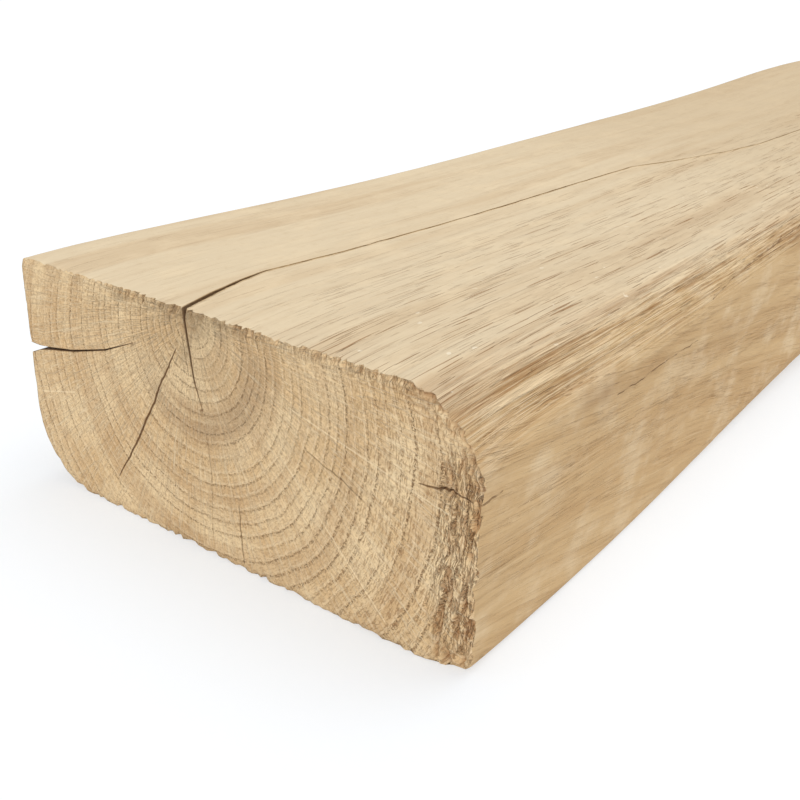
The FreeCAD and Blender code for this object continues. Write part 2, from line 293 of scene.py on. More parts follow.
def long_faces(outside, rows):
    """Every column of the mesh at every row.

    Returns the points, the ways out, how far round the beam from the middle of the top each one lies, a
    mask that is 1 on the surface and 0 in a check, and the painted shade of each inside an open check.
    """
    place, width, side_width = check_lines(rows)
    corners = [outside.corner(*way) for way in ((1, 1), (1, -1), (-1, -1), (-1, 1))]
    all_points, all_normals, all_arcs, check_shade, mask = [], [], [], [], None
    for r, along in enumerate(rows):
        shape, arc = outside.points[r], outside.arc[r]
        over_top = slice(0, MEASURES[0])
        crack = np.interp(place[r], shape[over_top, 0], arc[over_top])
        up_left = slice(sum(MEASURES[:3]) + 20, sum(MEASURES) - 20)
        side = np.interp(SIDE_CHECK_MOUTH[0], shape[up_left, 1], arc[up_left])
        top_lip, side_lip = width[r] / 2 + LIP, side_width[r] / 2 + LIP
        stops = [crack + top_lip, *(c[r] for c in corners[:3]), side - side_lip]
        after = [side + side_lip, corners[3][r], outside.perimeter[r] + crack - top_lip]
        ends = list(zip(stops[:-1], stops[1:])) + list(zip(after[:-1], after[1:]))
        spans = []
        for number, ((start, end), count) in enumerate(zip(ends, SEGMENT_COLUMNS)):
            last = number in (3, 5)
            share = np.arange(count + last) / count
            spans.append(start + (end - start) * share)
        before_check = np.concatenate(spans[:4])
        after_check = np.concatenate(spans[4:])

        side_mouth = outside.at(r, np.array([side]))[0]
        side_open = 1 - ramp(along, SIDE_CHECK_RUN - 12, SIDE_CHECK_RUN)
        reach = 1 - 0.7 * min(along / SIDE_CHECK_RUN, 1)
        wall = [(inwards, -up, share) for inwards, up, share in SIDE_CHECK_WALL]
        lips = outside.at(r, np.array([side - side_lip, side + side_lip]))
        side_points = check_columns(side_mouth, lips, wall, np.array([1.0, 0.0]), np.array([0.0, -1.0]),
                                    side_width[r], reach, side_open)

        top_mouth = outside.at(r, np.array([crack]))[0]
        top_open = 1 - ramp(along, 740, 790)
        deep = 1 - 0.45 * ramp(along, 20, 250)
        lips = outside.at(r, np.array([crack - top_lip, crack + top_lip]))
        wall = [(down, -aside, share) for down, aside, share in TOP_CHECK_WALL]
        top_points = check_columns(top_mouth, lips, wall, np.array([0.0, -1.0]), np.array([-1.0, 0.0]),
                                   width[r], deep, top_open)

        clockwise = place[r] - crack
        points = [outside.at(r, before_check), side_points, outside.at(r, after_check), top_points]
        normals = [outside.normal(r, before_check), np.zeros_like(side_points),
                   outside.normal(r, after_check), np.zeros_like(top_points)]
        arcs = [before_check + clockwise, np.full(len(side_points), side - outside.perimeter[r] + clockwise),
                after_check - outside.perimeter[r] + clockwise, np.full(len(top_points), place[r])]
        if mask is None:
            mask = np.concatenate([np.ones(len(before_check)), np.zeros(len(side_points)),
                                   np.ones(len(after_check)), np.zeros(len(top_points))])
        # Painted shade inside an open check: as strong as the check is open, and none at its two edges.
        in_side, in_top = (np.full(len(made), share) for made, share in
                           ((side_points, side_open), (top_points, top_open)))
        in_side[[0, -1]] = in_top[[0, -1]] = 0
        check_shade.append(np.concatenate([0 * before_check, in_side, 0 * after_check, in_top]))
        all_points.append(np.concatenate(points))
        all_normals.append(np.concatenate(normals))
        all_arcs.append(np.concatenate(arcs))
    return np.array(all_points), np.array(all_normals), np.array(all_arcs), mask, np.array(check_shade)


def facing(normals):
    """How far each point belongs to the top, the right side, the waney top right arris and the underside."""
    out, up = normals[..., 0], normals[..., 1]
    top = ramp(up, 0.75, 0.98)
    right = ramp(out, 0.8, 0.98)
    wane = np.clip(2.2 * out, 0, 1) * np.clip(2.2 * up, 0, 1) * (out > 0) * (up > 0)
    under = ramp(-up, 0.6, 0.95)
    return top, right, np.clip(wane, 0, 1), under


def split_distance(along, up):
    """How close a point of the right side is to the nearest split, as 1 on it and 0 away from it."""
    best = np.zeros(np.shape(along))
    for (a0, u0), (a1, u1), half in SIDE_SPLITS:
        da, du = a1 - a0, u1 - u0
        share = np.clip(((along - a0) * da + (up - u0) * du) / (da * da + du * du), 0, 1)
        away = np.hypot(along - a0 - share * da, up - u0 - share * du)
        best = np.maximum(best, np.exp(-(away / (2.2 * half)) ** 2) * min(1, half / 0.4))
    return best


def long_relief(points, normals, u, rows, mask):
    """How far the surface of the long faces sinks, and how much painted shade darkens its grooves."""
    along = rows[:, None] + 0 * u
    x, z = points[..., 0], points[..., 1]
    top, right, wane, under = facing(normals)
    left_top = top * ramp(-x, 5, 30)
    rough = 0.25 + 1.1 * wane + 0.42 * top * (1 - left_top) * ramp(x, 10, 80) + 0.12 * right
    hewn = 0.55 * (layered(u / 55, along / 150, seed=11) - 1) * (0.6 + 0.8 * wane)
    fibre = 0.10 * (noise(u / 2.1, along / 30, seed=12) - 1) * rough
    ridged = noise(u / 3.4, along / 150, seed=13) + 0.45 * noise(u / 1.8, along / 60, seed=14)
    groove = ramp(ridged, 0.25, 0.8) * rough
    deep = ramp(noise(u / 5.5, along / 260, seed=15), 0.3, 0.75) * wane
    flake = ramp(noise(u / 9, along / 26, seed=16), 0.55, 0.72) * wane
    split = split_distance(along, z) * ramp(normals[..., 0], 0.3, 0.7)
    lean = normals[..., 0] + 0.07 * layered(along / 45, 0.5, seed=17) * ramp(along, 4, 40)
    facets = ramp(lean, 0.12, 0.2) * (1 - ramp(lean, 0.2, 0.5))
    facets = facets + 0.8 * ramp(lean, 0.52, 0.6) * (1 - ramp(lean, 0.6, 0.86))
    facets = facets * (normals[..., 1] > 0) * (0.75 + 0.5 * noise(along / 80, 0.5, seed=18))
    sink = hewn + fibre - 0.7 * groove - 1.6 * deep - 0.7 * flake - 0.35 * split - 1.3 * facets
    near_arris = np.exp(-along / 2.6)
    crumble = ramp(noise(u / 1.5, 0.5, seed=21), 0.0, 0.9) * (0.35 + 0.75 * top + 0.9 * wane + 0.5 * right)
    sink = sink - 1.1 * crumble * near_arris
    chips = ramp(noise(u / 4.2, along / 9, seed=22), 0.62, 0.8) * ramp(normals[..., 1], -0.05, -0.5)
    sink = sink - 1.2 * chips * ramp(-normals[..., 1], 0.15, 0.5) * (1 - under)
    nibble = ramp(noise(u / 1.7, 0.5, seed=23), -0.1, 0.6) * under * np.exp(-along / 1.2)
    sink = (sink * (1 - 0.97 * under) - 1.3 * nibble) * mask
    # How strongly painted shade darkens the grooves, deep hollows, splits, flakes and facets.
    groove_shade = np.clip(0.5 * groove + 0.7 * deep + 0.2 * split + 0.3 * flake + 0.35 * facets, 0, 1)
    return np.minimum(sink, 0), groove_shade * mask * (1 - under)


# ---------------------------------------------------------------- the log

def pith_at(along):
    """Where the pith is, across and up, at each distance from the near end."""
    share = 1 - np.exp(-np.asarray(along, float) / PITH_DRIFT)
    return [n + (f - n) * share for n, f in zip(NEAR_PITH, FAR_PITH)]


def ring_radius(x, z, along):
    """The radius of the growth ring through each point: rings are round, and their centres sink."""
    pith_x, pith_z = pith_at(along)
    dx, dz = x - pith_x, z - pith_z
    k = RING_SINK
    radius = (k * dz + np.sqrt((k * dz) ** 2 + (1 - k * k) * (dx * dx + dz * dz))) / (1 - k * k)
    return radius * (1 + 0.035 * layered(dx / 45, dz / 45, along / 400, seed=31)), dx, dz


def years(radius):
    """How many rings lie within a radius: close together near the pith and wider further out."""
    extra = (1 / RING_NEAR_PITH - 1 / RING_FAR_OUT) * RING_CHANGE * (1 - np.exp(-radius / RING_CHANGE))
    return radius / RING_FAR_OUT + extra + 0.45 * noise(radius / 9, 0.5, seed=32)


def stained(along, z, normals):
    """How strongly the brown stains show."""
    total = np.zeros(np.shape(z))
    for at, up, half_length, half_height, strength in STAINS:
        off = ((along - at) / half_length) ** 2 + ((z - up) / half_height) ** 2
        total = np.maximum(total, strength * np.exp(-off))
    edge = 0.6 + 0.7 * layered(along / 14, z / 3.5, seed=41)
    return np.clip(total * edge, 0, 1) * ramp(normals[..., 0], 0.2, 0.6)


# ---------------------------------------------------------------- the sawn ends

def inside_polygon(points, polygon):
    x, y = points[:, :1], points[:, 1:]
    x0, y0 = polygon.T
    x1, y1 = np.roll(polygon, -1, axis=0).T
    crosses = (y0 > y) != (y1 > y)
    with np.errstate(divide="ignore", invalid="ignore"):
        at = x0 + (y - y0) * (x1 - x0) / (y1 - y0)
    return (np.sum(crosses & (x < at), axis=1) % 2) == 1


def distance_to(points, chain, closed=False):
    """The distance from each point to a line through the points of a chain."""
    starts = chain if closed else chain[:-1]
    ends = np.roll(chain, -1, axis=0) if closed else chain[1:]
    nearest = np.full(len(points), np.inf)
    for start, end in zip(starts, ends):
        step = end - start
        share = np.clip((points - start) @ step / max(step @ step, 1e-9), 0, 1)
        away = np.linalg.norm(points - start - share[:, None] * step, axis=1)
        nearest = np.minimum(nearest, away)
    return nearest


def slit(path, opening, depth, seed, pitch=1.2):
    """A closed check in an end: its centre line, both lips and both banks, and the centre's depth."""
    path = np.array(path, float)
    lengths = np.concatenate([[0], np.cumsum(np.linalg.norm(np.diff(path, axis=0), axis=1))])
    count = max(4, int(lengths[-1] / pitch))
    at = np.linspace(0, lengths[-1], count + 1)
    line = np.stack([np.interp(at, lengths, path[:, i]) for i in (0, 1)], 1)
    tangent = np.gradient(line, axis=0)
    square = np.stack([-tangent[:, 1], tangent[:, 0]], 1)
    square /= np.linalg.norm(square, axis=1, keepdims=True)
    middle = np.sin(np.pi * np.linspace(0, 1, count + 1)) ** 0.6
    stray = 0.45 * noise(at / 5, 0.5, seed=seed) + 0.3 * noise(at / 2, 0.5, seed=seed + 2)
    line = line + square * (stray * middle)[:, None]
    half = 0.5 * opening * middle * (1 + 0.35 * noise(at / 3, 0.5, seed=seed + 1))
    half = np.maximum(half, 0.04)[:, None]
    sides = [line + square * out for out in (half, -half, half + BANK, -half - BANK)]
    return line, [side[1:-1] for side in sides], depth * middle


def hexagonal(low, high, spacing, seed):
    """Points of a slightly uneven hexagonal grid over a rectangle."""
    step_x, step_z = spacing, spacing * math.sqrt(3) / 2
    nx, nz = int((high[0] - low[0]) / step_x) + 2, int((high[1] - low[1]) / step_z) + 2
    i, j = np.meshgrid(np.arange(nx), np.arange(nz), indexing="ij")
    x = low[0] + (i + 0.5 * (j % 2) + 0.22 * noise(i * 0.73, j * 0.73, seed=seed)) * step_x
    z = low[1] + (j + 0.25 * noise(i * 0.73, j * 0.73, seed=seed + 1)) * step_z
    return np.stack([x.ravel(), z.ravel()], 1)


def is_torn(points):
    """Where the near end is torn rather than cleanly cut: by its right side and just below its top."""
    x, z = points.T
    return (x > 86) | ((z > 92.5) & (x > -60)) | ((x > 74) & (z > 74))


def beside_walls(boundary, mask, pitch=1.4):
    """Points just inside the timber along the walls of the open checks."""
    made = []
    for start, end, kept in zip(boundary, np.roll(boundary, -1, axis=0), mask * np.roll(mask, -1)):
        step = end - start
        size = np.linalg.norm(step)
        if kept or size < 0.5:
            continue
        count = max(1, int(size / pitch))
        share = ((np.arange(count) + 0.5) / count)[:, None]
        made.append(start + step * share + BANK * np.array([step[1], -step[0]]) / size)
    points = np.concatenate(made) if made else np.empty((0, 2))
    points = points[inside_polygon(points, boundary)]
    return points[distance_to(points, boundary, closed=True) > 0.7 * BANK]


def end_cap(boundary, mask, checks, spacing, seed, fine=None):
    """A sawn end: its points across and up, its triangles, and its closed checks' depth and painted shade.

    The first points are the boundary's, in its order.  fine is a closer spacing for what is torn.
    """
    low, high = boundary.min(0), boundary.max(0)
    grid = hexagonal(low, high, spacing, seed)
    gap = np.full(len(grid), 0.45 * spacing)
    if fine:
        close = hexagonal(low, high, fine, seed + 2)
        kept, added = ~is_torn(grid), is_torn(close)
        grid = np.concatenate([grid[kept], close[added]])
        gap = np.concatenate([gap[kept], np.full(added.sum(), 0.5 * fine)])
    kept = inside_polygon(grid, boundary)
    grid, gap = grid[kept], gap[kept]
    kept = distance_to(grid, boundary, closed=True) > gap
    grid, gap = grid[kept], gap[kept]

    beside = beside_walls(boundary, mask)
    points, edges = [boundary, beside], []
    total = len(boundary) + len(beside)
    depth, slit_shade = [np.zeros(total)], [np.zeros(total)]
    for number, (path, opening, deep) in enumerate(checks):
        line, sides, sunk = slit(path, opening, deep, seed + 10 * number)
        kept = distance_to(grid, line) > 0.5 * opening + BANK + gap
        grid, gap = grid[kept], gap[kept]
        count = len(line)
        chains = [np.arange(count)]
        for side in range(2):
            chains.append(np.r_[0, count + side * (count - 2) + np.arange(count - 2), count - 1])
        for chain in chains:
            edges += [(total + a, total + b) for a, b in zip(chain[:-1].tolist(), chain[1:].tolist())]
        points += [line, *sides]
        depth += [sunk, np.zeros(4 * (count - 2))]
        tips = np.r_[0, np.ones(count - 2), 0]
        # Painted shade along a closed check's centre line and lips, none at its tips or banks, stronger as
        # it opens.
        slit_shade += [min(1, opening / 0.7) * np.r_[tips, np.ones(2 * count - 4)], np.zeros(2 * (count - 2))]
        total += 5 * count - 8
    points.append(grid)
    depth.append(np.zeros(len(grid)))
    slit_shade.append(np.zeros(len(grid)))
    flat = np.concatenate(points)
    deep = np.stack([np.concatenate(depth), np.concatenate(slit_shade)], 1)
    ring = list(range(len(boundary)))
    vectors = [Vector(point) for point in flat.tolist()]
    made, _, faces, sources, _, _ = delaunay_2d_cdt(vectors, edges, [ring], 1, 1e-5)
    source = np.array([s[0] if s else -1 for s in sources])
    placed = np.array([tuple(v) for v in made])
    order = np.full(len(flat), -1)
    order[source[source >= 0]] = np.flatnonzero(source >= 0)
    if (order[: len(boundary)] < 0).any():
        raise RuntimeError("an end's boundary lost a point")
    boundary_first = np.concatenate([order[: len(boundary)],
                                     np.setdiff1d(np.arange(len(placed)), order[: len(boundary)])])
    place_of = np.empty(len(placed), int)
    place_of[boundary_first] = np.arange(len(placed))
    sunk = np.where(source[:, None] >= 0, deep[source], 0.0)[boundary_first]
    return placed[boundary_first], place_of[np.array(faces)], sunk[:, 0], sunk[:, 1]


def end_relief(points, boundary, along, torn):
    """How far a sawn end sinks at each point, and how much painted shade darkens its grooves."""
    x, z = points.T
    radius, _, dz = ring_radius(x, z, along)
    edge = distance_to(points, boundary, closed=True)
    year = years(radius)
    phase = np.mod(year, 1)
    early = ramp(phase, 0.0, 0.12) * (1 - ramp(phase, 0.2, 0.42))
    early = early * ramp(noise(np.floor(year) * 0.73, dz / 60, seed=50), -0.5, 0.5)
    outer = ramp(x, 25, 80) * torn
    pores = early * (0.03 + 0.07 * outer) * (0.6 + 0.6 * noise(x / 1.9, z / 1.9, seed=51))
    saw = 0.09 * (1 + noise(x / 2.2, z / 2.2, seed=52)) + 0.12 * (1 + layered(x / 18, z / 18, seed=53))
    rag = ramp(x + 5 * noise(z / 11, 0.5, seed=54), 93, 105) * ramp(z, -2, 6) * (1 - ramp(z, 72, 88)) * torn
    corner = np.exp(-((112 - x) ** 2 + z ** 2) / 110) * (1 + 0.4 * noise(x / 3, z / 3, seed=64)) * torn
    lean = x + 1.8 * noise(z / 16, x / 12, seed=55)
    slots = ramp(noise(lean / 1.25, z / 10, seed=56), 0.0, 0.6)
    breaks = ramp(noise(x / 2.5, z / 3.2, seed=59), 0.1, 0.7)
    under_top = ramp(z, 94.5, 99) * ramp(x, -58, -50) * (1 - ramp(x, 83, 92)) * torn
    dashes = ramp(noise(x / 1.1, z / 4.5, seed=57), 0.05, 0.6) * under_top
    roll = 0.45 * np.exp(-edge / 0.8)
    wane_edge = ramp(x, 78, 92) * ramp(z, 76, 90) * np.exp(-edge / 4.5) * torn
    break_out = ramp(noise(x / 2.4, z / 2.4, seed=58), -0.1, 0.7) * wane_edge
    sole = ramp(-z, -4, -0.5) * (0.4 + ramp(noise(x / 1.5, 0.5, seed=60), -0.1, 0.6)) * torn
    sink = pores + saw + (2.6 * slots + 0.9 * breaks + 0.6) * rag + 1.5 * dashes + roll + 1.8 * break_out
    peeled = ramp(x, 74, 84) * ramp(z, 62, 74) * np.exp(-edge / 6.0) * torn
    strands = ramp(np.sin(2.6 * edge + 2.5 * noise(x / 9, z / 9, seed=65)), -0.2, 0.9)
    sink = sink + 1.2 * sole + 4.5 * corner + (0.5 + 1.3 * strands) * peeled
    # How strongly painted shade darkens the slots, breaks, dashes, break-out and peeled strands.
    groove_shade = (0.85 * slots + 0.3 * breaks) * rag + 0.45 * dashes + 0.5 * break_out + 0.7 * strands * peeled
    return sink, np.clip(groove_shade, 0, 1)


# ---------------------------------------------------------------- the whole mesh

def build_beam(solid):
    low, high = (np.array(corner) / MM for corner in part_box(NODE))
    near, length = low[1], high[1] - low[1]
    rows = row_places(length)
    outside = Outside(measured_outside(solid, near, rows))
    points, normals, around, mask, check_shade = long_faces(outside, rows)
    sink, groove_shade = long_relief(points, normals, around, rows, mask)
    top, _, wane, _ = facing(normals)
    shown = points + normals * sink[..., None]
    shown[..., 0] = np.clip(shown[..., 0], low[0], high[0])
    shown[..., 1] = np.clip(shown[..., 1], 0, high[2])
    columns = len(mask)

    near_points, near_faces, near_deep, near_slit_shade = end_cap(
        shown[0], mask, NEAR_CHECKS, END_SPACING, 61, FINE_SPACING)
    far_points, far_faces, far_deep, far_slit_shade = end_cap(shown[-1], mask, FAR_CHECKS, FAR_SPACING, 71)
    near_sink, near_groove_shade = end_relief(near_points, shown[0], 0.0, 1.0)
    far_sink, far_groove_shade = end_relief(far_points, shown[-1], length, 0.0)

    along = rows[:, None] + near_sink[:columns] * np.exp(-rows / 5)[:, None]
    along = along - far_sink[:columns] * np.exp(-(length - rows) / 5)[:, None]
    along[-1] = length - far_sink[:columns]
    body = np.stack([shown[..., 0], along, shown[..., 1]], -1).reshape(-1, 3)

    def cap(cap_points, sunk, deep, at_near):
        inner = slice(columns, None)
        depth = sunk[inner] + deep[inner]
        place = depth if at_near else length - depth
        return np.stack([cap_points[inner, 0], place, cap_points[inner, 1]], 1)

    near_cap = cap(near_points, near_sink, near_deep, True)
    far_cap = cap(far_points, far_sink, far_deep, False)
    placed = np.concatenate([body, near_cap, far_cap])
    body_count = len(body)

    zero_near, zero_far = np.zeros(len(near_points)), np.zeros(len(far_points))

    def attribute(on_body, on_near=zero_near, on_far=zero_far):
        return np.concatenate([np.ravel(on_body), on_near[columns:], on_far[columns:]])

    # Painted shade for the grooves.
    cavity_shade = attribute(groove_shade, near_groove_shade, far_groove_shade)
    stain = attribute(stained(rows[:, None], shown[..., 1], normals))
    weather = attribute(top)
    wane = attribute(wane)
    # Painted shade inside the open and closed checks.
    inner = attribute(check_shade, near_slit_shade, far_slit_shade)
    u = attribute(around)
    radius, dx, dz = ring_radius(placed[:, 0], placed[:, 2], placed[:, 1])

    r, c = np.meshgrid(np.arange(len(rows) - 1), np.arange(columns), indexing="ij")
    here, beside = (r * columns + c).ravel(), (r * columns + (c + 1) % columns).ravel()
    quads = np.stack([here, beside, beside + columns, here + columns], 1)
    near_map = np.concatenate([np.arange(columns), body_count + np.arange(len(near_cap))])
    far_map = np.concatenate([body_count - columns + np.arange(columns),
                              body_count + len(near_cap) + np.arange(len(far_cap))])
    near_tris, far_tris = near_map[near_faces], far_map[far_faces][:, ::-1]

    corners = np.concatenate([quads.ravel(), near_tris.ravel(), far_tris.ravel()])
    sizes = np.concatenate([np.full(len(quads), 4), np.full(len(near_tris) + len(far_tris), 3)])
    placed[:, 1] += near
    mesh = bpy.data.meshes.new("beam_timber")
    mesh.vertices.add(len(placed))
    mesh.vertices.foreach_set("co", (placed * MM).ravel())
    mesh.loops.add(len(corners))
    mesh.loops.foreach_set("vertex_index", corners.astype(np.int32))
    mesh.polygons.add(len(sizes))
    mesh.polygons.foreach_set("loop_start", np.concatenate([[0], np.cumsum(sizes)[:-1]]).astype(np.int32))
    mesh.polygons.foreach_set("material_index", (np.arange(len(sizes)) >= len(quads)).astype(np.int32))
    mesh.update(calc_edges=True)
    mesh.shade_smooth()

    def store(name, kind, values, key):
        made = mesh.attributes.new(name, kind, "POINT")
        made.data.foreach_set(key, np.ascontiguousarray(values, np.float32).ravel())

    place = np.stack([placed[:, 0], placed[:, 1] - near, placed[:, 2]], 1)
    store("place", "FLOAT_VECTOR", place, "vector")
    store("log", "FLOAT_VECTOR", np.stack([dx, place[:, 1], dz], 1), "vector")
    store("radius", "FLOAT", radius, "value")
    store("year", "FLOAT", years(radius), "value")
    store("around", "FLOAT", u, "value")
    for name, values in (("cavity_shade", cavity_shade), ("stain", stain), ("weather", weather), ("wane", wane),
                         ("check", inner)):
        store(name, "FLOAT", np.clip(values, 0, 1), "value")
    problems = mesh.validate(verbose=False)
    triangles = len(quads) * 2 + len(near_tris) + len(far_tris)
    print(f"beam: {len(rows)} rows, {columns} columns, {triangles} triangles, mended {problems}")
    beam = bpy.data.objects.new("beam_timber", mesh)
    bpy.context.scene.collection.objects.link(beam)
    return beam


# ---------------------------------------------------------------- materials

class Shading:
    """A material's node tree, written as arithmetic on its sockets."""

    def __init__(self, name):
        self.material = bpy.data.materials.new(name)
        self.material.use_nodes = True
        self.tree = self.material.node_tree
        self.shader = self.tree.nodes["Principled BSDF"]

    def node(self, kind, values=(), **settings):
        made = self.tree.nodes.new(kind)
        for key, value in settings.items():
            setattr(made, key, value)
        for key, value in dict(values).items():
            self.give(made.inputs[key], value)
        return made

    def give(self, socket, value):
        if isinstance(value, bpy.types.NodeSocket):
            self.tree.links.new(value, socket)
        else:
            socket.default_value = value

    def math(self, operation, *values, clamp=False):
        made = self.node("ShaderNodeMath", dict(enumerate(values)), operation=operation)
        made.use_clamp = clamp
        return made.outputs[0]

    def add(self, *values):
        total = values[0]
        for value in values[1:]:
            total = self.math("ADD", total, value)
        return total

    def times(self, *values):
        total = values[0]
        for value in values[1:]:
            total = self.math("MULTIPLY", total, value)
        return total

    def ramp(self, value, low, high, start=0.0, end=1.0):
        made = self.node("ShaderNodeMapRange", {0: value, 1: low, 2: high, 3: start, 4: end},
                         interpolation_type="SMOOTHSTEP")
        return made.outputs[0]

    def value(self, name):
        return self.node("ShaderNodeAttribute", attribute_name=name).outputs["Fac"]

    def axes(self, name):
        vector = self.node("ShaderNodeAttribute", attribute_name=name).outputs["Vector"]
        return self.node("ShaderNodeSeparateXYZ", {0: vector}).outputs

    def vector(self, x, y, z=0.0):
        return self.node("ShaderNodeCombineXYZ", {0: x, 1: y, 2: z}).outputs[0]

    def noise(self, vector, detail=1.0, roughness=0.5):
        values = {"Vector": vector, "Scale": 1.0, "Detail": detail, "Roughness": roughness}
        return self.node("ShaderNodeTexNoise", values).outputs["Fac"]

    def streaks(self, x, y, width, length, offset=0.0, detail=1.0, roughness=0.5):
        """Noise in cells of this width and length."""
        vector = self.vector(self.times(x, 1 / width), self.times(y, 1 / length), offset)
        return self.noise(vector, detail, roughness)

    def blend(self, share, first, second):
        made = self.node("ShaderNodeMix", data_type="RGBA")
        made.clamp_factor = True
        self.give(made.inputs[0], share)
        self.give(made.inputs[6], first)
        self.give(made.inputs[7], second)
        return made.outputs[2]

    def painted(self, tone, layers):
        """A colour with others laid over it in turn, each as strongly as its share."""
        for share, shade in layers:
            tone = self.blend(share, tone, colour(*shade))
        return tone

    def along_line(self, x, y, start, end, half_width):
        """1 on the line from start to end, fading to 0 past its half width."""
        dx, dy = end[0] - start[0], end[1] - start[1]
        size = dx * dx + dy * dy
        from_x, from_y = self.math("SUBTRACT", x, start[0]), self.math("SUBTRACT", y, start[1])
        share = self.add(self.times(from_x, dx / size), self.times(from_y, dy / size))
        share = self.math("MAXIMUM", self.math("MINIMUM", share, 1.0), 0.0)
        away_x = self.math("SUBTRACT", from_x, self.times(share, dx))
        away_y = self.math("SUBTRACT", from_y, self.times(share, dy))
        squared = self.add(self.times(away_x, away_x), self.times(away_y, away_y))
        return self.ramp(self.math("SQRT", squared), 0.35 * half_width, 1.5 * half_width, 1.0, 0.0)

    def finish(self, colour, roughness, height, relief):
        bump = self.node("ShaderNodeBump", {"Strength": 1.0, "Distance": relief * MM, "Height": height})
        self.give(self.shader.inputs["Base Color"], colour)
        self.give(self.shader.inputs["Roughness"], roughness)
        self.give(self.shader.inputs["Normal"], bump.outputs[0])
        self.shader.inputs["Specular IOR Level"].default_value = 0.25
        return self.material


def colour(red, green, blue):
    """A colour as it is seen on a screen, from 0 to 255, as the shader takes it."""
    def linear(value):
        value = value / 255
        return value / 12.92 if value <= 0.04045 else ((value + 0.055) / 1.055) ** 2.4
    return (linear(red), linear(green), linear(blue), 1.0)


